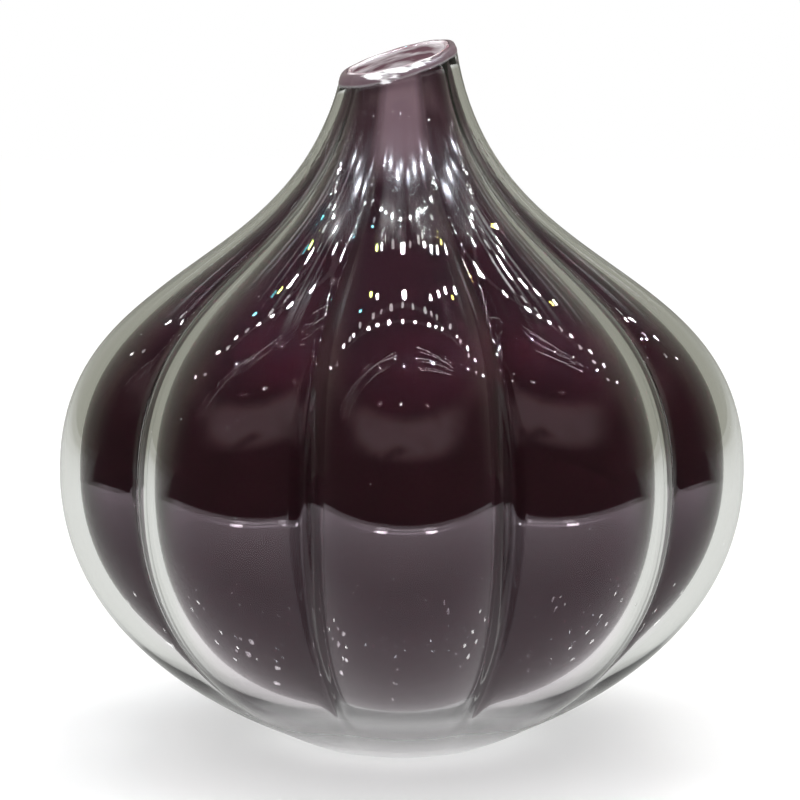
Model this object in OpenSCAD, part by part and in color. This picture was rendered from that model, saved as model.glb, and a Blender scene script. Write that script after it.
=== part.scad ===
// Onion-shaped glass vase, in millimetres, +Z up.
// The origin is at the centre of the foot, on the surface that the vase stands on.
// A thick clear casing is drawn in over a dark plum lining, and both carry the same lobes.
// One lobe faces -Y, apart from a small turn, and the slanted mouth is highest towards +X.

/* [Bulb] */
// Radius at the crests of the lobes, where the bulb is widest
bulb_r = 85; // [65:1:110]
// Height of the widest place
belly_h = 69.2; // [55:0.1:80]
// Roundness of the bulb below its widest place, as the length of the curve's upper handle
under_round = 40; // [30:1:48]
// Roundness of the shoulder, as the length of the curve's lower handle
shoulder_round = 52; // [30:1:65]

/* [Foot] */
// Radius of the flat foot at the crests of the lobes
foot_r = 25; // [18:1:40]
// Rise of the glass where it leaves the foot, in degrees from the table
foot_rise = 21.5; // [12:0.5:45]
// Length over which the glass keeps that rise
foot_reach = 23; // [8:1:26]

/* [Neck and mouth] */
// Outer radius of the neck at the mouth
mouth_r = 14.6; // [11:0.1:20]
// Height at the middle of the mouth where the neck ends and its rounded lip begins
mouth_h = 166; // [150:1:185]
// Lean of the neck's wall towards the axis at the mouth, in degrees
neck_lean = 12; // [0:1:20]
// Length of the hollow sweep of the neck, as the length of the curve's upper handle
neck_sweep = 54; // [35:1:65]
// Slant of the mouth, in degrees, rising towards +X
mouth_slant = 15; // [0:1:20]
// Slant of the mouth, in degrees, rising towards the back
mouth_tip_back = 12.5; // [0:0.5:16]
// Height of the neck that the slant is spread over
slant_h = 20; // [15:1:40]

/* [Lobes] */
// Number of lobes
lobes = 10; // [6:1:12]
// Turn of the lobes about the axis, in degrees
lobe_turn = 1.2; // [-18:0.1:18]
// Depth of the grooves at the widest place
groove_belly = 9.5; // [3:0.5:11]
// Depth of the grooves at the foot
groove_foot = 0.6; // [0.2:0.1:2]
// Depth of the grooves at the mouth
groove_mouth = 0.4; // [0.1:0.1:1]
// Half the angle over which the bottom of a groove is rounded
groove_soft = 0.9; // [0.5:0.1:3]
// Half the angle over which the same groove is rounded behind the casing
ridge_soft = 1.3; // [0.5:0.1:4]

/* [Glass] */
// Thickness of the clear casing at the widest place
casing_belly = 4.5; // [3:0.1:7]
// Thickness of the clear casing at the mouth
casing_mouth = 1.9; // [1.4:0.1:3]
// Thickness of the clear glass in the foot
casing_foot = 10; // [6:0.5:14]
// Extra thickness of the clear casing behind a groove at the widest place
casing_ridge = 1.5; // [0:0.5:4]
// Thickness of the plum lining at the widest place
lining_belly = 1.8; // [1.2:0.1:3]
// Thickness of the plum lining at the mouth
lining_mouth = 1.1; // [0.8:0.1:1.4]
// Gap between the lining and the casing
layer_gap = 0.15; // [0.05:0.01:0.3]
// Height of the casing's lip, which is a quarter round that ends against the lining
lip_rise = 2.6; // [1.5:0.1:4]
// Depth below the top of the lip at which the lining's own round edge begins
lining_drop = 0.3; // [0:0.1:1]

/* [Hidden] */
// Steps round one lobe, and up each stretch of the wall
lobe_steps = 8;
under_steps = 7;
over_steps = 10;
floor_steps = 4;
lip_steps = 5;
lobe_half = 180 / lobes;

// Point and direction on a cubic curve
function curve(a, b, c, d, t) =
    pow(1 - t, 3) * a + 3 * pow(1 - t, 2) * t * b + 3 * (1 - t) * t * t * c + t * t * t * d;
function curve_way(a, b, c, d, t) =
    pow(1 - t, 2) * (b - a) + 2 * (1 - t) * t * (c - b) + t * t * (d - c);
function unit(v) = v / norm(v);
function ease(t) = t * t * (3 - 2 * t);
function mix(a, b, t) = a + (b - a) * t;

// Handles of the two curves of the outside: foot to belly, and belly to mouth
belly = [bulb_r, belly_h];
mouth = [mouth_r, mouth_h];
foot = [foot_r, 0];
foot_handle = foot + foot_reach * [cos(foot_rise), sin(foot_rise)];
under_handle = belly - [0, under_round];
over_handle = belly + [0, shoulder_round];
neck_handle = mouth + neck_sweep * [sin(neck_lean), -cos(neck_lean)];

// The outside at s: 0 at the foot, 1 at the belly, 2 at the mouth
function skin(s) = s < 1
    ? curve(foot, foot_handle, under_handle, belly, s)
    : curve(belly, over_handle, neck_handle, mouth, s - 1);
function skin_way(s) = s < 1
    ? curve_way(foot, foot_handle, under_handle, belly, s)
    : curve_way(belly, over_handle, neck_handle, mouth, s - 1);
function inward(s) = let (w = unit(skin_way(s))) [-w[1], w[0]];

// Thickness of the casing and of the lining, and depth of the grooves, at s
function casing_wall(s) = s < 1
    ? mix(casing_foot, casing_belly, 1 - pow(1 - s, 4))
    : mix(casing_belly, casing_mouth, ease(s - 1));
function lining_wall(s) = s < 1 ? lining_belly : mix(lining_belly, lining_mouth, ease(s - 1));
function groove(s) = s < 1
    ? skin(s)[0] * mix(groove_foot / foot_r, groove_belly / bulb_r, sin(90 * s))
    : skin(s)[0] * mix(groove_belly / bulb_r, groove_mouth / mouth_r, pow(s - 1, 2));
function ridge(s) = casing_ridge * (s < 1 ? ease(s) : 1 - ease(s - 1));

// A station is [crest radius, groove depth, height, rounding angle, run of the wall per rise]
function station(s, depth) =
    let (
        p = skin(s) + depth * inward(s),
        inside = min(1, depth / casing_wall(s)),
        deep = min(groove(s) + inside * ridge(s), p[0] * 0.25),
        way = skin_way(s)
    )
    [p[0], deep, p[1], mix(groove_soft, ridge_soft, inside), way[0] / way[1]];

// Radius of one lobed ring at an angle off the nearest crest: an arc that meets its neighbours
function lobe_r(crest, deep, soft, off) =
    let (
        low = crest - deep,
        mid = (crest * crest - low * low) / (2 * (crest - low * cos(lobe_half))),
        arc = crest - mid,
        to_groove = lobe_half - off,
        a = max(0, lobe_half - sqrt(to_groove * to_groove + soft * soft))
    )
    mid * cos(a) + sqrt(max(0, arc * arc - pow(mid * sin(a), 2)));

// Points of a ring; near the mouth each one slides along the wall to the slant of the mouth
function tilt(z) = ease(min(1, max(0, (z - mouth_h + slant_h) / slant_h)));
function ring(st) = [
    for (i = [0:lobes * lobe_steps - 1])
        let (
            from_crest = i * 360 / (lobes * lobe_steps),
            off = lobe_half - abs(lobe_half - (from_crest % (2 * lobe_half))),
            r = lobe_r(st[0], st[1], st[3], off),
            angle = from_crest - 90 + lobe_turn,
            slant = tan(mouth_slant) * cos(angle) + tan(mouth_tip_back) * sin(angle),
            rise = tilt(st[2]) * r * slant,
            slid = r + rise * st[4]
        )
        [slid * cos(angle), slid * sin(angle), st[2] + rise]
];

// A closed solid through a list of stations, from the middle of its underside to its floor
module turned_lobes(stations, start_z, end_z) {
    around = lobes * lobe_steps;
    last = len(stations) - 1;
    points = concat([[0, 0, start_z]], [for (st = stations) each ring(st)], [[0, 0, end_z]]);
    function at(j, i) = 1 + j * around + i % around;
    faces = concat(
        [for (i = [0:around - 1]) [0, at(0, i), at(0, i + 1)]],
        [for (j = [0:last - 1], i = [0:around - 1]) [at(j, i), at(j + 1, i), at(j + 1, i + 1)]],
        [for (j = [0:last - 1], i = [0:around - 1]) [at(j, i), at(j + 1, i + 1), at(j, i + 1)]],
        [for (i = [0:around - 1]) [at(last, i), len(points) - 1, at(last, i + 1)]]
    );
    polyhedron(points = points, faces = faces, convexity = 6);
}

// Stations up the wall at a depth inside the skin, and across the floor to near the axis
function wall_up(add) = concat(
    [for (i = [0:under_steps - 1]) let (s = i / under_steps) station(s, add(s))],
    [for (i = [0:over_steps]) let (s = 1 + i / over_steps) station(s, add(s))]
);
function backwards(list) = [for (i = [len(list) - 1:-1:0]) list[i]];
function floor_in(edge) = [
    for (i = [1:floor_steps - 1])
        let (k = i / floor_steps)
        [edge[0] * (1 - k), edge[1] * pow(1 - k, 2), edge[2], edge[3], edge[4]]
];

// The rounded edge between two stations: a quarter round when turn is 90, a half round when 180
function round_edge(outer, inner, turn, rise) = [
    for (i = [1:lip_steps])
        let (a = turn * i / lip_steps)
        mix(outer, inner, (1 - cos(a)) / (1 - cos(turn))) + [0, 0, rise * sin(a), 0, 0]
];

// The clear casing: lobed outside, quarter-round lip, lobed inside and a thick clear foot
module clear_casing() {
    outside = wall_up(function (s) 0);
    inside = wall_up(function (s) casing_wall(s));
    lip = round_edge(outside[len(outside) - 1], inside[len(inside) - 1], 90, lip_rise);
    color([0.80, 0.83, 0.79, 0.35])
        turned_lobes(
            concat(outside, lip, backwards(inside), floor_in(inside[0])),
            0, inside[0][2]
        );
}

// The plum lining: a lobed bubble of dark glass that lies inside the casing and ends in the lip
module plum_lining() {
    outside = wall_up(function (s) casing_wall(s) + layer_gap);
    inside = wall_up(function (s) casing_wall(s) + layer_gap + lining_wall(s));
    up_lip = [0, 0, lip_rise - lining_drop, 0, 0];
    outer_edge = outside[len(outside) - 1] + up_lip;
    inner_edge = inside[len(inside) - 1] + up_lip;
    edge = round_edge(outer_edge, inner_edge, 180, lining_mouth / 2);
    color([0.26, 0.11, 0.15])
        turned_lobes(
            concat(
                backwards(floor_in(outside[0])), outside, [outer_edge], edge,
                backwards(inside), floor_in(inside[0])
            ),
            outside[0][2], inside[0][2]
        );
}

clear_casing();
plum_lining();
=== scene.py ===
"""Onion-shaped glass vase: a thick clear lobed casing over a dark plum lining."""
import math

import bpy
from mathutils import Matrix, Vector


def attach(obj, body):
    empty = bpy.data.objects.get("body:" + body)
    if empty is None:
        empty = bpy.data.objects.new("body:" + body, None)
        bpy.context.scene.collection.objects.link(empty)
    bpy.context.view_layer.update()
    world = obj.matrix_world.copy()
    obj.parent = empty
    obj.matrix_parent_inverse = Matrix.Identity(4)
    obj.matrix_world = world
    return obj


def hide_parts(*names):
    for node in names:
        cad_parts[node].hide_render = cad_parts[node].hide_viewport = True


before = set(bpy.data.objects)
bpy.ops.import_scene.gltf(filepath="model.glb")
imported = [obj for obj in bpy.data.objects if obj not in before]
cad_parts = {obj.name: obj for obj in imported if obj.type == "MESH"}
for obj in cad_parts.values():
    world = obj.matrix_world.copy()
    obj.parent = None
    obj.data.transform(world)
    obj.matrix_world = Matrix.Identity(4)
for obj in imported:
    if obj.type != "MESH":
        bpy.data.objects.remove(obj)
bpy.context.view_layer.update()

# Sizes of the vase, in metres and radians, as the frame has them
BULB = {
    "Bulb Radius": 0.085,
    "Belly Height": 0.0692,
    "Under Round": 0.040,
    "Shoulder Round": 0.052,
    "Foot Radius": 0.025,
    "Foot Rise": math.radians(21.5),
    "Foot Reach": 0.023,
    "Mouth Radius": 0.0146,
    "Mouth Height": 0.166,
    "Neck Lean": math.radians(12),
    "Neck Sweep": 0.054,
    "Mouth Slant": math.radians(15),
    "Mouth Tip Back": math.radians(12.5),
    "Slant Height": 0.020,
    "Lobes": 10.0,
    "Lobe Turn": math.radians(1.2),
    "Groove Belly": 0.0095,
    "Groove Foot": 0.0006,
    "Groove Mouth": 0.0004,
    "Groove Soft": math.radians(0.9),
    "Ridge Soft": math.radians(1.3),
    "Ridge": 0.0015,
    "Casing Belly": 0.0045,
    "Casing Mouth": 0.0019,
    "Casing Foot": 0.0100,
}
LAYER_GAP = 0.00015
LINING_BELLY = 0.0018
LINING_MOUTH = 0.0011
LIP_RISE = 0.0026
LINING_DROP = 0.0003

# Rows of the mesh: across a floor, up a wall and over the lip, and steps round the vase
FLOOR_ROWS = 10
WALL_ROWS = 110
LIP_ROWS = 10
MOUTH_ROWS = 4
AROUND = 360
MERGE_WITHIN = 1e-6

# Plum glass: its colour deep in the bulb, and in the neck where it thins and carries a painted reflection;
# the height over which it thins;
# and how wide the painted reflection panel is, lighter to the front and back, as a share of the way from
# the front to the side
PLUM_DEEP = (0.021, 0.0052, 0.0078, 1)
PLUM_THIN_LIT = (0.235, 0.157, 0.175, 1)
NECK_THIN_FROM = 0.136
NECK_THIN_OVER = 0.012
REFLECTION_PANEL_EDGE = 0.42
REFLECTION_PANEL_BLEND = 0.20
REFLECTION_PANEL_SIDES = 0.12
PLUM_ROUGH = 0.25

# Plum glass of the mouth: its thick and thin streaks, their fineness, and their dents. Here and below,
# a pair such as MOUTH_STREAKS is the gain and the cut of a contrast.
MOUTH_THICK = (0.26, 0.14, 0.17, 1)
MOUTH_THIN = (0.95, 0.88, 0.91, 1)
MOUTH_STREAK_SCALE = 380
MOUTH_STREAKS = (5, 1.9)
MOUTH_STRETCH = 0.3
MOUTH_SQUASH = 2
MOUTH_DENTS = 0.0004
MOUTH_ROUGH = 0.18

# Clear glass, fully smooth above the foot
GLASS_IOR = 1.5
CLEAR = (0.98, 0.99, 0.975, 1)
CLEAR_ROUGH = 0.0
CLEAR_SHINE = (0.5, 0.5, 0.5, 1)
# Height under which it is cloudy, over what height that grows, its tint and how rough it gets
CLOUDY_TO = 0.0175
CLOUDY_OVER = 0.009
CLOUDY_TINT = (0.88, 0.885, 0.88, 1)
CLOUDY_ROUGH = 0.30
# The very foot is whitish and has a painted glow, as if lit through the frosted glass: up to what height,
# over what height it fades, how white and how bright the glow is
WHITE_TO = 0.009
WHITE_OVER = 0.007
FOOT_WHITE = 0.5
FOOT_GLOW = 0.42
# The stretch of the neck that was worked with tools, how deep its marks are and how fine
WORKED_FROM = 0.133
WORKED_TO = 0.153
WORKED_OVER = 0.006
WORKED_DEPTH = 0.00007
WORKED_SCALE = 700
WORKED_DETAIL = 1.6
WORKED_STRETCH = (1.0, 1.0, 0.5)
# Streaks drawn up the neck: where they begin and end, how deep they are beside the marks, how fine
DRAWN_FROM = 0.119
DRAWN_TO = 0.158
DRAWN_OVER = 0.008
DRAWN_DEPTH = 0.7
DRAWN_AROUND = 14
DRAWN_UP = 35
# Where the same streaks are dull, which of them, and how much
DULL_FROM = 0.123
DULL_STREAKS = (6, 2.4)
DULL = 0.60
DULL_ROUGH = 0.15
# Fine white hairs of the drawing: where they begin, which of them show and how far to the sides,
# how white and how fine they are
HAIRS = (14, 7.98)
HAIR_SIDES = (90, 0.7)
HAIR_FROM = 0.103
HAIR_OVER = 0.015
HAIR_WHITE = 0.14
HAIR_AROUND = 30
HAIR_UP = 16
# The painted highlight, a white band along the front of the cut lip: its two ends to the sides, over what
# length each end rises and how far, how far it hangs down at each end, and how ragged and how sharp its
# lower edge is
LIP_HIGHLIGHT_LEFT = -0.0090
LIP_HIGHLIGHT_RIGHT = 0.0130
LIP_HIGHLIGHT_LEFT_END = 0.005
LIP_HIGHLIGHT_RIGHT_END = 0.007
LIP_HIGHLIGHT_END_RISE = 0.0035
LIP_HIGHLIGHT_LOW_LEFT = -0.0012
LIP_HIGHLIGHT_LOW_RIGHT = 0.0010
LIP_HIGHLIGHT_RAGGED = 0.004
LIP_HIGHLIGHT_SOFT = 0.0005
LIP_HIGHLIGHT_FRONT = 0.002
WHITE = (0.93, 0.95, 0.94, 1)
WHITE_ROUGH = 0.35
# Patches of the painted lip highlight, wide and low
LIP_HIGHLIGHT_PATCHES = (7, 2.2)
PATCH_SCALE = 420
PATCH_STRETCH = (0.5, 0.5, 2.0)
# The rest of the cut lip is greyish mauve
RIM = (0.17, 0.11, 0.13, 1)
RIM_SHARE = 0.75
RIM_SOFT = 0.0008
RIM_START = 0.2
# Dust specks: how close they lie, their size in that spacing and its edge, how few there are of them,
# and how white they are
DUST_SCALE = 170
DUST_SIZE = 0.035
DUST_EDGE = 1.2
DUST_CHANCE = 0.55
DUST_WHITE = 0.5

# The floor is pale paper for the camera
FLOOR_Z = -0.0003
FLOOR_HALF = 12.0
PAPER = (0.6, 0.6, 0.6, 1)
PAPER_LIGHT = 0.42
# In the glass it is a glossy table with a rounded front: its two reaches, soft edge and polish
TABLE_FRONT = 0.36
TABLE_SIDE = 0.55
TABLE_BLEND = 0.06
TABLE_POLISH = 0.1
TABLE_GLOSS = 0.03
# Colours of the table by the vase, in front and far away, and of the room beyond its edge
TABLE_BY_VASE = (0.76, 0.77, 0.75, 1)
TABLE_AHEAD = (1.15, 0.99, 1.12, 1)
TABLE_AWAY = (0.44, 0.44, 0.40, 1)
BEYOND_TABLE = (0.10, 0.085, 0.09, 1)
AHEAD_OVER = 0.1
AWAY_FROM = 0.35
AWAY_OVER = 1.5
# The vase's shadow on the table
SHADOW = 0.66
SHADOW_FROM = 0.03
SHADOW_OVER = 0.05
# The brighter front of the table, the shining line inside its edge and the two glints on the line
GLARE_FROM = 0.35
GLARE_OVER = 0.6
GLARE = 1.5
SHINE_AT = 0.86
SHINE_WIDTH = 0.035
SHINE_SIDE = 1 / 3
SHINE = 5
SHINE_GLINT_AT = 0.10
SHINE_GLINT_WIDTH = 0.03
SHINE_GLINT = 110
# Small glints between the vase and the table's edge
GLINT_NEAR = 0.045
GLINT_FAR = 0.13
GLINT_OVER = 0.01
GLINT_SCALE = 100
GLINTS = (25, 17.5)
GLINT_SIDE = 0.1625
GLINT_SIDE_OVER = 0.125
GLINT_POWER = 10

# The room in the glass: a wall behind, a dark one in front with a broad lit band, and the ceiling
WALL = (0.32, 0.32, 0.275, 1)
WALL_AHEAD = (0.10, 0.085, 0.09, 1)
BAND = (0.95, 0.70, 0.74, 1)
CEILING = (0.12, 0.11, 0.14, 1)
BAND_FROM = 0.24
BAND_TO = 0.70
BAND_EDGE = 5
BAND_SIDE = 0.85
BAND_SIDE_EDGE = 3
BAND_LIGHT = 1.7
BAND_SCALE = 6.0
BAND_DETAIL = 3.0
BAND_PATCHES = (4, 1.0)
# How the wall behind turns into the one in front, and up to where the walls reach
WALL_TURN = (3, -0.5)
WALL_TO = 0.85
WALL_EDGE = 4

# Height of the lamps, and where they point
LAMP_H = 1.2
LAMP_AIM = (0, 0, 0.12)
# The small lamps: place to the side and back, width and power
LAMPS = (
    # Behind the vase
    (-0.27, 0.28, 0.030, 0.4), (0.0, 0.24, 0.045, 0.7), (0.26, 0.28, 0.030, 0.4),
    (0.35, 0.34, 0.030, 0.4), (0.43, 0.40, 0.030, 0.4), (0.56, 0.50, 0.030, 0.4),
    # Over it
    (-0.40, 0.10, 0.04, 0.6), (-0.29, 0.09, 0.03, 0.4), (-0.16, 0.08, 0.04, 0.6),
    (-0.02, 0.08, 0.03, 0.4), (0.10, 0.08, 0.03, 0.4), (0.25, 0.09, 0.04, 0.6),
    (0.33, 0.10, 0.03, 0.4), (0.41, 0.11, 0.03, 0.4),
    # Out to both sides
    (-1.35, 0.16, 0.05, 0.6), (-0.85, 0.15, 0.05, 0.6), (-0.62, 0.14, 0.04, 0.5),
    (0.62, 0.15, 0.04, 0.5), (0.85, 0.15, 0.05, 0.6), (1.1, 0.15, 0.05, 0.6), (1.5, 0.16, 0.05, 0.6),
    # Well in front
    (-0.55, -0.95, 0.03, 0.4), (-0.1, -1.0, 0.03, 0.4), (0.45, -1.0, 0.03, 0.4),
)
# Brighter ones in front, for the glints on the worked neck
FRONT_LAMPS = (
    (-0.60, -0.30, 0.016, 4.0), (-0.36, -0.37, 0.012, 2.5), (-0.13, -0.29, 0.020, 6.0),
    (-0.02, -0.38, 0.012, 2.5), (0.14, -0.27, 0.012, 3.0), (0.37, -0.30, 0.020, 5.5),
    (0.62, -0.19, 0.020, 6.0), (0.75, -0.36, 0.012, 2.5), (1.0, -0.08, 0.020, 6.0),
)
FRONT_COLOUR = (0.86, 0.90, 1.0)
# Small tinted ones, for the coloured glints of the thick glass
TINTED_LAMPS = (
    (-0.34, 0.32, 0.025, 0.15, (0.75, 1.0, 0.20)), (-0.48, 0.29, 0.025, 0.20, (0.15, 0.85, 1.0)),
    (-0.33, 0.40, 0.025, 0.20, (0.45, 0.30, 1.0)), (0.52, 0.43, 0.025, 0.15, (1.0, 0.75, 0.10)),
)
# Long lights on the ceiling: the two ends of each, its width and its power
STRIPS = (
    ((-0.13, -0.26), (-2.06, -0.68), 0.008, 0.30),
    ((-0.20, -0.38), (-2.10, -0.90), 0.006, 0.12),
    ((0.15, -0.20), (0.76, -0.24), 0.006, 0.08),
    ((0.20, -0.42), (0.76, -0.34), 0.006, 0.08),
    ((0.18, -0.31), (0.70, -0.28), 0.005, 0.05),
    ((-0.80, 0.08), (0.80, 0.08), 0.020, 0.04),
)

# The camera: its distance, its angle above the floor, where it points, its lens and its shift
CAMERA_DISTANCE = 0.550
CAMERA_ABOVE = math.radians(7.40)
CAMERA_AIM = (0, 0, 0.0795)
CAMERA_LENS = 99.6
CAMERA_FILM = 36
CAMERA_SHIFT = (-0.00125, 0.0234)


class Sock:
    """An output of a node, with arithmetic that adds Math nodes to its tree."""

    def __init__(self, nodes, out):
        self.nodes = nodes
        self.out = out

    def math(self, operation, *others):
        values = (self, *others)
        return self.nodes.add("ShaderNodeMath", {"operation": operation}, dict(enumerate(values)))

    def __add__(self, other):
        return self.math("ADD", other)

    __radd__ = __add__

    def __sub__(self, other):
        return self.math("SUBTRACT", other)

    def __rsub__(self, other):
        return self.nodes.add("ShaderNodeMath", {"operation": "SUBTRACT"}, {0: other, 1: self})

    def __mul__(self, other):
        return self.math("MULTIPLY", other)

    __rmul__ = __mul__

    def __truediv__(self, other):
        return self.math("DIVIDE", other)

    def __rtruediv__(self, other):
        return self.nodes.add("ShaderNodeMath", {"operation": "DIVIDE"}, {0: other, 1: self})

    def __pow__(self, other):
        return self.math("POWER", other)

    def clamped(self):
        return self.nodes.add("ShaderNodeClamp", {}, {0: self, 1: 0.0, 2: 1.0})

    def other(self, name):
        """Another output of the same node, by its name or number."""
        return Sock(self.nodes, self.out.node.outputs[name])


class Nodes:
    """Adds nodes to one tree; every node comes from add."""

    def __init__(self, tree):
        self.tree = tree

    def add(self, kind, settings=None, inputs=None, out=0):
        node = self.tree.nodes.new(kind)
        for name, value in (settings or {}).items():
            setattr(node, name, value)
        self.fill(node, inputs or {})
        return Sock(self, node.outputs[out]) if node.outputs else node

    def fill(self, node, inputs):
        for key, value in inputs.items():
            if isinstance(value, Sock):
                self.tree.links.new(value.out, node.inputs[key])
            else:
                node.inputs[key].default_value = value


def mix(a, b, t):
    return a + (b - a) * t


def ease(t):
    return t * t * (3 - 2 * t)


def cubic(a, b, c, d, t):
    """A point of a cubic curve through four values."""
    left = 1 - t
    return a * (left ** 3) + b * (3 * left ** 2 * t) + c * (3 * left * t ** 2) + d * (t ** 3)


def cubic_way(a, b, c, d, t):
    """The direction of the same curve."""
    left = 1 - t
    return (b - a) * (left ** 2) + (c - b) * (2 * left * t) + (d - c) * (t ** 2)


def layer_tree():
    """Geometry nodes that shape one closed layer of lobed glass between two depths in the wall."""
    tree = bpy.data.node_groups.new("lobed_glass_layer", "GeometryNodeTree")
    tree.interface.new_socket("Geometry", in_out="OUTPUT", socket_type="NodeSocketGeometry")
    for name, value in {**BULB, **layer_sizes((0, 0, 0), (0, 0, 0), 0, 0, math.pi)}.items():
        socket = tree.interface.new_socket(name, in_out="INPUT", socket_type="NodeSocketFloat")
        socket.default_value = value
    for name in ("Material", "Mouth Material"):
        tree.interface.new_socket(name, in_out="INPUT", socket_type="NodeSocketMaterial")
    nodes = Nodes(tree)
    given = nodes.add("NodeGroupInput")

    def size(name):
        """An input of the tree."""
        return given.other(name)

    # Where a vertex of the flat grid lies: across, up, over the lip, down and across again
    rows = 2 * FLOOR_ROWS + 2 * WALL_ROWS + LIP_ROWS
    grid = nodes.add("GeometryNodeMeshGrid", {}, {
        "Size X": 1.0, "Size Y": 1.0, "Vertices X": AROUND + 1, "Vertices Y": rows + 1})
    flat = nodes.add("ShaderNodeSeparateXYZ", {}, {0: nodes.add("GeometryNodeInputPosition")})
    turn = (flat + 0.5) * (2 * math.pi)
    row = (flat.other(1) + 0.5) * rows
    lip_start = FLOOR_ROWS + WALL_ROWS
    lip_end = lip_start + LIP_ROWS
    to_axis = (1 - row / FLOOR_ROWS).clamped() + ((row - (lip_end + WALL_ROWS)) / FLOOR_ROWS).clamped()
    up = ((row - FLOOR_ROWS) / WALL_ROWS).clamped() - ((row - lip_end) / WALL_ROWS).clamped()
    over = ((row - lip_start) / LIP_ROWS).clamped()
    under_t = (up * 2).clamped()
    over_t = (up * 2 - 1).clamped()
    above = (up * 2).math("GREATER_THAN", 1.0)

    def either(low, high):
        return mix(low, high, above)

    # The two curves of the outside, foot to belly and belly to mouth
    foot_r = size("Foot Radius")
    bulb_r = size("Bulb Radius")
    mouth_r = size("Mouth Radius")
    belly_z = size("Belly Height")
    mouth_z = size("Mouth Height")
    rise = size("Foot Rise")
    lean = size("Neck Lean")
    reach = size("Foot Reach")
    sweep = size("Neck Sweep")
    under_r = (foot_r, foot_r + reach * rise.math("COSINE"), bulb_r, bulb_r)
    under_z = (belly_z * 0, reach * rise.math("SINE"), belly_z - size("Under Round"), belly_z)
    over_r = (bulb_r, bulb_r, mouth_r + sweep * lean.math("SINE"), mouth_r)
    over_z = (belly_z, belly_z + size("Shoulder Round"), mouth_z - sweep * lean.math("COSINE"), mouth_z)
    skin_r = either(cubic(*under_r, under_t), cubic(*over_r, over_t))
    skin_z = either(cubic(*under_z, under_t), cubic(*over_z, over_t))
    way_r = either(cubic_way(*under_r, under_t), cubic_way(*over_r, over_t))
    way_z = either(cubic_way(*under_z, under_t), cubic_way(*over_z, over_t))
    way = (way_r * way_r + way_z * way_z).math("SQRT")

    # Thickness of the glass and depth of the grooves there
    thick_t = 1 - (1 - under_t) ** 4

    def depth(side):
        low = mix(size(side + " Foot"), size(side + " Belly"), thick_t)
        return mix(low, size(side + " Mouth"), ease(over_t))

    casing = depth("Casing")
    outer = depth("Outer")
    inner = depth("Inner")
    lip_turn = size("Lip Turn")
    lip_share = (1 - (over * lip_turn).math("COSINE")) / (1 - lip_turn.math("COSINE"))
    deep_in = mix(outer, inner, lip_share)
    groove_foot = size("Groove Foot") / foot_r
    groove_belly = size("Groove Belly") / bulb_r
    groove_mouth = size("Groove Mouth") / mouth_r
    groove_share = either(
        mix(groove_foot, groove_belly, (under_t * (math.pi / 2)).math("SINE")),
        mix(groove_belly, groove_mouth, over_t * over_t))
    crest = skin_r - deep_in * (way_z / way)
    height = skin_z + deep_in * (way_r / way)
    inside = (deep_in / casing).clamped()
    ridge = size("Ridge") * either(ease(under_t), 1 - ease(over_t))
    groove = (skin_r * groove_share + inside * ridge).math("MINIMUM", crest * 0.25)
    soft = mix(size("Groove Soft"), size("Ridge Soft"), inside)

    # One ring of lobes: an arc over each lobe that meets its neighbours in a rounded groove
    lobe_half = math.pi / size("Lobes")
    off = lobe_half - (lobe_half - turn.math("FLOORED_MODULO", lobe_half * 2)).math("ABSOLUTE")
    low = crest - groove
    centre = (crest * crest - low * low) / (2 * (crest - low * lobe_half.math("COSINE")))
    arc = crest - centre
    to_groove = lobe_half - off
    eased = (lobe_half - (to_groove * to_groove + soft * soft).math("SQRT")).math("MAXIMUM", 0.0)
    across = centre * eased.math("SINE")
    lobe = centre * eased.math("COSINE") + (arc * arc - across * across).math("MAXIMUM", 0.0).math("SQRT")
    radius = lobe * (1 - to_axis)
    angle = turn - math.pi / 2 + size("Lobe Turn")
    to_x = angle.math("COSINE")
    to_y = angle.math("SINE")

    # The slanted mouth, where each point slides along the wall, and the rounded lip
    slant_h = size("Slant Height")
    tilt = ease(((height - mouth_z + slant_h) / slant_h).clamped())
    slant = to_x * size("Mouth Slant").math("TANGENT") + to_y * size("Mouth Tip Back").math("TANGENT")
    rise_here = radius * slant * tilt
    slid = radius + rise_here * (way_r / way_z)
    at_top = ((up - 1) * WALL_ROWS + 1).clamped()
    lip = at_top * (size("Lip Rise") + size("Lip Round") * (over * lip_turn).math("SINE"))
    z = height + rise_here + lip

    # The lip, and the inner wall just under it, have their own material
    at_mouth = row.math("GREATER_THAN", lip_start) * row.math("LESS_THAN", lip_end + MOUTH_ROWS)
    marked = nodes.add("GeometryNodeCaptureAttribute", {"domain": "FACE"})
    marker = marked.out.node
    marker.capture_items.new("FLOAT", "At Mouth")
    nodes.fill(marker, {0: grid, 1: at_mouth})

    place = nodes.add("ShaderNodeCombineXYZ", {}, {0: slid * to_x, 1: slid * to_y, 2: z})
    shaped = nodes.add("GeometryNodeSetPosition", {}, {"Geometry": marked.other(0), "Position": place})
    closed = nodes.add("GeometryNodeMergeByDistance", {}, {"Geometry": shaped, "Distance": MERGE_WITHIN})
    smooth = nodes.add("GeometryNodeSetShadeSmooth", {}, {"Geometry": closed, "Shade Smooth": True})
    real = nodes.add("GeometryNodeRealizeInstances", {}, {"Geometry": smooth})
    blown = nodes.add("GeometryNodeSetMaterial", {}, {"Geometry": real, "Material": size("Material")})
    finished = nodes.add("GeometryNodeSetMaterial", {}, {
        "Geometry": blown, "Selection": marked.other(1), "Material": size("Mouth Material")})
    nodes.add("NodeGroupOutput", {}, {"Geometry": finished})
    return tree


def layer_sizes(outer, inner, lip_rise, lip_round, lip_turn):
    """Depths of a layer's two faces at the belly, mouth and foot, and the form of its lip."""
    return {
        "Outer Belly": outer[0], "Outer Mouth": outer[1], "Outer Foot": outer[2],
        "Inner Belly": inner[0], "Inner Mouth": inner[1], "Inner Foot": inner[2],
        "Lip Rise": lip_rise, "Lip Round": lip_round, "Lip Turn": lip_turn,
    }


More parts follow.
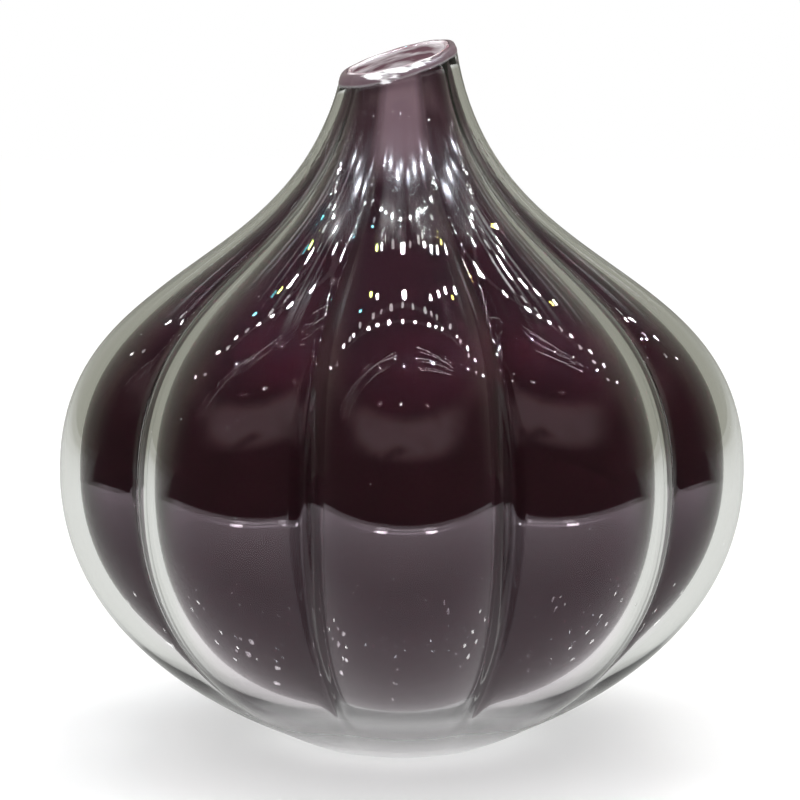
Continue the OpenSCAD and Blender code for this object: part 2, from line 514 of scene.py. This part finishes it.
def glass_layer(name, tree, sizes, glass, mouth):
    """A plain closed mesh of one layer, shaped by the tree, with its glass and the glass of its mouth."""
    maker = bpy.data.objects.new(name + "_maker", bpy.data.meshes.new(name + "_maker"))
    bpy.context.scene.collection.objects.link(maker)
    modifier = maker.modifiers.new("shape", "NODES")
    modifier.node_group = tree
    sockets = {s.name: s.identifier for s in tree.interface.items_tree if s.in_out == "INPUT"}
    given = {**BULB, **sizes, "Material": glass, "Mouth Material": mouth}
    for key, value in given.items():
        modifier[sockets[key]] = value
    shaped = maker.evaluated_get(bpy.context.evaluated_depsgraph_get())
    mesh = bpy.data.meshes.new_from_object(shaped)
    mesh.name = name
    maker.modifiers.remove(modifier)
    bpy.data.objects.remove(maker)
    piece = bpy.data.objects.new(name, mesh)
    bpy.context.scene.collection.objects.link(piece)
    return piece


def material(name):
    """A new material and the Nodes of its emptied tree."""
    made = bpy.data.materials.new(name)
    made.use_nodes = True
    made.node_tree.nodes.clear()
    return made, Nodes(made.node_tree)


def object_place(nodes):
    """The place on the object, and its three parts."""
    place = nodes.add("ShaderNodeTexCoord").other("Object")
    side = nodes.add("ShaderNodeSeparateXYZ", {}, {0: place})
    return place, side, side.other(1), side.other(2)


def distance(side, back):
    return (side ** 2 + back ** 2) ** 0.5


def between(value, low, high, over):
    """1 between two values, and 0 outside them, with soft ends."""
    return ease(((value - low) / over).clamped()) * ease(((high - value) / over).clamped())


def contrast(value, gain, cut):
    """0 to 1, once the value times the gain is past the cut."""
    return (value * gain - cut).clamped()


def stretched(nodes, place, by):
    return nodes.add("ShaderNodeVectorMath", {"operation": "MULTIPLY"}, {0: place, 1: by})


def noise(nodes, place, scale, detail=2.0):
    return nodes.add("ShaderNodeTexNoise", {}, {"Vector": place, "Scale": scale, "Detail": detail})


def tinted(nodes, share, low, high):
    """One colour where the share is 0, and the other where it is 1."""
    return nodes.add("ShaderNodeMix", {"data_type": "RGBA"}, {"Factor": share, 6: low, 7: high}, out=2)


def up_the_neck(nodes, turn, height, around, up):
    """Noise drawn out up the neck, along its wall."""
    return noise(nodes, nodes.add("ShaderNodeCombineXYZ", {}, {0: turn * around, 1: height * up}), 1.0)


def mouth_slant(side, back):
    """Rise of the slanted mouth there."""
    return side * math.tan(BULB["Mouth Slant"]) + back * math.tan(BULB["Mouth Tip Back"])


def painted_lip_highlight(side, back, over_cut, patchy):
    """A painted highlight: a white band along the front of the cut lip, with a ragged lower edge that
    rises at its ends.
    """
    to_right = ((side - LIP_HIGHLIGHT_LEFT) / (LIP_HIGHLIGHT_RIGHT - LIP_HIGHLIGHT_LEFT)).clamped()
    low = mix(LIP_HIGHLIGHT_LOW_LEFT, LIP_HIGHLIGHT_LOW_RIGHT, (to_right * 2).clamped())
    ends = (1 - (side - LIP_HIGHLIGHT_LEFT) / LIP_HIGHLIGHT_LEFT_END).math("MAXIMUM", 0.0)
    ends = ends + (1 - (LIP_HIGHLIGHT_RIGHT - side) / LIP_HIGHLIGHT_RIGHT_END).math("MAXIMUM", 0.0)
    ragged = (patchy - 0.5) * LIP_HIGHLIGHT_RAGGED
    lip_highlight = ((over_cut + ragged - low - ends * LIP_HIGHLIGHT_END_RISE) / LIP_HIGHLIGHT_SOFT).clamped()
    in_front = ((-LIP_HIGHLIGHT_FRONT - back) / LIP_HIGHLIGHT_FRONT).clamped()
    return lip_highlight * contrast(patchy, *LIP_HIGHLIGHT_PATCHES) * in_front


def drawn_hairs(nodes, side, turn, height):
    """Fine white hairs up both sides of the neck."""
    hairs = up_the_neck(nodes, turn, height, HAIR_AROUND, HAIR_UP)
    sides = contrast(side.math("ABSOLUTE"), *HAIR_SIDES)
    white = contrast(hairs, *HAIRS) * HAIR_WHITE
    return white * between(height, HAIR_FROM, DRAWN_TO, HAIR_OVER) * sides


def dust_specks(nodes, place):
    cells = nodes.add("ShaderNodeTexVoronoi", {}, {"Vector": place, "Scale": DUST_SCALE})
    chance = nodes.add("ShaderNodeSeparateXYZ", {}, {0: cells.other("Color")})
    speck = (DUST_EDGE - cells / DUST_SIZE).clamped()
    return speck * chance.math("GREATER_THAN", DUST_CHANCE) * DUST_WHITE


def worked_glass(nodes, place, height, turn):
    """The clear glass itself: cloudy at the foot, with tool marks and drawn streaks on the neck."""
    cloudy = ease(((CLOUDY_TO - height) / CLOUDY_OVER).clamped())
    marks = noise(nodes, stretched(nodes, place, WORKED_STRETCH), WORKED_SCALE, WORKED_DETAIL)
    marks = marks * between(height, WORKED_FROM, WORKED_TO, WORKED_OVER)
    streaks = up_the_neck(nodes, turn, height, DRAWN_AROUND, DRAWN_UP)
    drawn = streaks * between(height, DRAWN_FROM, DRAWN_TO, DRAWN_OVER) * DRAWN_DEPTH
    dents = nodes.add("ShaderNodeBump", {}, {
        "Strength": 1.0, "Distance": WORKED_DEPTH, "Height": marks + drawn})
    dull = between(height, DULL_FROM, WORKED_TO, WORKED_OVER) * contrast(streaks, *DULL_STREAKS) * DULL
    return nodes.add("ShaderNodeBsdfPrincipled", {}, {
        "Base Color": tinted(nodes, cloudy, CLEAR, CLOUDY_TINT),
        "Roughness": mix(CLEAR_ROUGH, CLOUDY_ROUGH, cloudy), "IOR": GLASS_IOR, "Normal": dents,
        "Coat Weight": dull, "Coat Roughness": DULL_ROUGH,
        "Specular Tint": CLEAR_SHINE, "Transmission Weight": 1.0})


def clear_glass():
    """Clear glass under a thin white finish: the painted highlight and the rim of the lip, hairs, the
    foot's painted glow and dust.
    """
    made, nodes = material("clear_glass")
    place, side, back, height = object_place(nodes)
    turn = back.math("ARCTAN2", side)
    patchy = noise(nodes, stretched(nodes, place, PATCH_STRETCH), PATCH_SCALE)
    over_cut = height - BULB["Mouth Height"] - mouth_slant(side, back)
    # Painted highlight: a white band along the front of the lip, standing in for reflected light
    lip_highlight = painted_lip_highlight(side, back, over_cut, patchy)
    hairs = drawn_hairs(nodes, side, turn, height)
    # Painted glow: the very foot is whitened and made to give off light
    foot = ((WHITE_TO - height) / WHITE_OVER).clamped() * FOOT_WHITE
    rim = (over_cut / RIM_SOFT + RIM_START).clamped() * RIM_SHARE
    share = lip_highlight
    for part in (hairs, foot, dust_specks(nodes, place), rim):
        share = share.math("MAXIMUM", part)
    white = nodes.add("ShaderNodeBsdfPrincipled", {}, {
        "Base Color": tinted(nodes, (rim / RIM_SHARE - lip_highlight).clamped(), WHITE, RIM),
        "Roughness": WHITE_ROUGH,
        "Emission Color": tinted(nodes, foot / FOOT_WHITE, (0, 0, 0, 1), WHITE),
        "Emission Strength": FOOT_GLOW})
    glass = worked_glass(nodes, place, height, turn)
    surface = nodes.add("ShaderNodeMixShader", {}, {0: share, 1: glass, 2: white})
    nodes.add("ShaderNodeOutputMaterial", {}, {"Surface": surface})
    return made


def mouth_glass():
    """The plum glass in the mouth: thin, greyish and drawn round the rim."""
    made, nodes = material("mouth_glass")
    _, side, back, height = object_place(nodes)
    level = (height - mouth_slant(side, back)) * MOUTH_SQUASH
    round_rim = nodes.add("ShaderNodeCombineXYZ", {}, {
        0: side * MOUTH_STRETCH, 1: back * MOUTH_STRETCH, 2: level})
    patchy = noise(nodes, round_rim, MOUTH_STREAK_SCALE)
    dents = nodes.add("ShaderNodeBump", {}, {"Strength": 1.0, "Distance": MOUTH_DENTS, "Height": patchy})
    surface = nodes.add("ShaderNodeBsdfPrincipled", {}, {
        "Base Color": tinted(nodes, contrast(patchy, *MOUTH_STREAKS), MOUTH_THICK, MOUTH_THIN),
        "Roughness": MOUTH_ROUGH, "IOR": GLASS_IOR, "Normal": dents})
    nodes.add("ShaderNodeOutputMaterial", {}, {"Surface": surface})
    return made


def plum_glass():
    """The dark plum lining: lighter in the neck where it thins, and much lighter in the front and back
    panels, a painted reflection.
    """
    made, nodes = material("plum_glass")
    _, side, back, height = object_place(nodes)
    aside = side.math("ABSOLUTE") / (back.math("ABSOLUTE") + 1e-4)
    thin = ease(((height - NECK_THIN_FROM) / NECK_THIN_OVER).clamped())
    # Painted reflection: the neck panels to the front and back are painted lighter, as if a bright front
    # were mirrored in them
    painted_reflection = mix(REFLECTION_PANEL_SIDES, 1.0, ((REFLECTION_PANEL_EDGE - aside) / REFLECTION_PANEL_BLEND).clamped())
    surface = nodes.add("ShaderNodeBsdfPrincipled", {}, {
        "Base Color": tinted(nodes, thin * painted_reflection, PLUM_DEEP, PLUM_THIN_LIT),
        "Roughness": PLUM_ROUGH, "IOR": GLASS_IOR, "Specular IOR Level": 0.0})
    nodes.add("ShaderNodeOutputMaterial", {}, {"Surface": surface})
    return made


def table_power(nodes, place, along, back, reach, on_table):
    """Light of the table: less under the vase, more in front, with a shining line and small glints."""
    aside = along.math("ABSOLUTE")
    in_front = (back / -AHEAD_OVER).clamped()
    shadow = mix(SHADOW, 1.0, ((distance(along, back) - SHADOW_FROM) / SHADOW_OVER).clamped())
    glare = ((reach - GLARE_FROM) / GLARE_OVER).clamped() * on_table * GLARE
    line = (1 - (reach - SHINE_AT).math("ABSOLUTE") / SHINE_WIDTH).clamped()
    line_light = line * SHINE * (1 - aside / SHINE_SIDE).clamped()
    on_line = (1 - (aside - SHINE_GLINT_AT).math("ABSOLUTE") / SHINE_GLINT_WIDTH).clamped()
    glints = contrast(noise(nodes, place, GLINT_SCALE), *GLINTS)
    glints = glints * between(-1 * back, GLINT_NEAR, GLINT_FAR, GLINT_OVER)
    glints = glints * ((GLINT_SIDE - aside) / GLINT_SIDE_OVER).clamped()
    return shadow + in_front * (glare + line_light + line * on_line * SHINE_GLINT) + glints * GLINT_POWER


def floor_finish():
    """Pale paper for the camera; what the glass gathers is a glossy table and the darker room round it."""
    made, nodes = material("pale_floor")
    paper = nodes.add("ShaderNodeBsdfPrincipled", {}, {
        "Base Color": PAPER, "Roughness": 1.0, "Specular IOR Level": 0.0,
        "Emission Color": (1, 1, 1, 1), "Emission Strength": PAPER_LIGHT})
    place, along, back, _ = object_place(nodes)
    reach = distance(along / TABLE_SIDE, back / TABLE_FRONT)
    behind = (back / AHEAD_OVER).clamped()
    on_table = ((1 - reach) / TABLE_BLEND).clamped().math("MAXIMUM", behind)
    away = ((distance(along, back) - AWAY_FROM) / AWAY_OVER).clamped()
    top = tinted(nodes, (back / -AHEAD_OVER).clamped(), TABLE_BY_VASE, TABLE_AHEAD)
    shade = tinted(nodes, on_table, BEYOND_TABLE, tinted(nodes, away, top, TABLE_AWAY))
    table = nodes.add("ShaderNodeEmission", {}, {
        "Color": shade, "Strength": table_power(nodes, place, along, back, reach, on_table)})
    polish = nodes.add("ShaderNodeBsdfGlossy", {}, {"Color": (1, 1, 1, 1), "Roughness": TABLE_GLOSS})
    glossy = nodes.add("ShaderNodeMixShader", {}, {0: on_table * TABLE_POLISH, 1: table, 2: polish})
    seen = nodes.add("ShaderNodeLightPath")
    surface = nodes.add("ShaderNodeMixShader", {}, {0: seen, 1: glossy, 2: paper})
    nodes.add("ShaderNodeOutputMaterial", {}, {"Surface": surface})
    return made


def make_floor():
    mesh = bpy.data.meshes.new("floor")
    sides = ((-1, -1), (1, -1), (1, 1), (-1, 1))
    mesh.from_pydata([(x * FLOOR_HALF, y * FLOOR_HALF, FLOOR_Z) for x, y in sides], [], [(0, 1, 2, 3)])
    floor = bpy.data.objects.new("floor", mesh)
    bpy.context.scene.collection.objects.link(floor)
    mesh.materials.append(floor_finish())


def make_world():
    """White for the camera and for matt light; the glass gathers a plain room instead."""
    world = bpy.data.worlds.new("room")
    world.use_nodes = True
    world.node_tree.nodes.clear()
    nodes = Nodes(world.node_tree)
    way = nodes.add("ShaderNodeTexCoord")
    side = nodes.add("ShaderNodeSeparateXYZ", {}, {0: way})
    up = side.other(2)
    # A grey-green wall behind, and in front a dark one with a broad patchy band half way up
    patches = contrast(noise(nodes, way, BAND_SCALE, BAND_DETAIL), *BAND_PATCHES)
    ends = ((BAND_SIDE - side.math("ABSOLUTE")) * BAND_SIDE_EDGE).clamped()
    edges = ((up - BAND_FROM) * BAND_EDGE).clamped() * ((BAND_TO - up) * BAND_EDGE).clamped()
    ahead = tinted(nodes, ends * patches * edges * BAND_LIGHT, WALL_AHEAD, BAND)
    walls = tinted(nodes, contrast(side.other(1), *WALL_TURN), ahead, WALL)
    room = tinted(nodes, ((WALL_TO - up) * WALL_EDGE).clamped(), CEILING, walls)
    light = nodes.add("ShaderNodeBackground", {}, {"Color": room, "Strength": 1.0})
    white = nodes.add("ShaderNodeBackground", {}, {"Color": (1, 1, 1, 1), "Strength": 1.0})
    seen = nodes.add("ShaderNodeLightPath")
    plain = seen.math("MAXIMUM", seen.other("Is Diffuse Ray"))
    both = nodes.add("ShaderNodeMixShader", {}, {0: plain, 1: light, 2: white})
    nodes.add("ShaderNodeOutputWorld", {}, {"Surface": both})
    bpy.context.scene.world = world


def area_light(name, place, size, power, shape="DISK"):
    """A lamp that points at the vase."""
    data = bpy.data.lights.new(name, "AREA")
    data.shape = shape
    data.size = size
    data.energy = power
    lamp = bpy.data.objects.new(name, data)
    lamp.location = place
    lamp.rotation_euler = (Vector(LAMP_AIM) - Vector(place)).to_track_quat("-Z", "Y").to_euler()
    bpy.context.scene.collection.objects.link(lamp)
    return lamp


def make_lights():
    for i, (side, back, width, power) in enumerate(LAMPS):
        area_light("lamp_%d" % i, (side, back, LAMP_H), width, power)
    for i, (side, back, width, power) in enumerate(FRONT_LAMPS):
        lamp = area_light("front_lamp_%d" % i, (side, back, LAMP_H), width, power)
        lamp.data.color = FRONT_COLOUR
        lamp.visible_diffuse = False
    for i, (side, back, width, power, tint) in enumerate(TINTED_LAMPS):
        area_light("tinted_lamp_%d" % i, (side, back, LAMP_H), width, power).data.color = tint
    for i, (near, far, width, power) in enumerate(STRIPS):
        ends = [Vector((side, back, LAMP_H)) for side, back in (near, far)]
        along = ends[1] - ends[0]
        strip = area_light("strip_%d" % i, (ends[0] + ends[1]) / 2, along.length, power, "RECTANGLE")
        strip.data.size_y = width
        strip.rotation_euler = (0, 0, math.atan2(along.y, along.x))


def make_camera():
    data = bpy.data.cameras.new("camera")
    data.sensor_width = CAMERA_FILM
    data.lens = CAMERA_LENS
    data.shift_x, data.shift_y = CAMERA_SHIFT
    camera = bpy.data.objects.new("camera", data)
    back_and_up = Vector((0, -math.cos(CAMERA_ABOVE), math.sin(CAMERA_ABOVE)))
    camera.location = Vector(CAMERA_AIM) + CAMERA_DISTANCE * back_and_up
    camera.rotation_euler = (math.pi / 2 - CAMERA_ABOVE, 0, 0)
    bpy.context.scene.collection.objects.link(camera)
    bpy.context.scene.camera = camera


def make_vase():
    tree = layer_tree()
    casing_in = [BULB["Casing " + place] for place in ("Belly", "Mouth", "Foot")]
    clear = clear_glass()
    casing = glass_layer(
        "clear_casing_glass", tree,
        layer_sizes((0, 0, 0), casing_in, 0, LIP_RISE, math.pi / 2), clear, clear)
    outer = [depth + LAYER_GAP for depth in casing_in]
    inner = [outer[0] + LINING_BELLY, outer[1] + LINING_MOUTH, outer[2] + LINING_BELLY]
    lining = glass_layer(
        "plum_lining_glass", tree,
        layer_sizes(outer, inner, LIP_RISE - LINING_DROP, LINING_MOUTH / 2, math.pi),
        plum_glass(), mouth_glass())
    for piece, node in ((casing, "clear_casing"), (lining, "plum_lining")):
        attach(piece, "root")
        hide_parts(node)


make_camera()
make_world()
make_lights()
make_floor()
make_vase()
bpy.context.scene.view_settings.view_transform = "Standard"
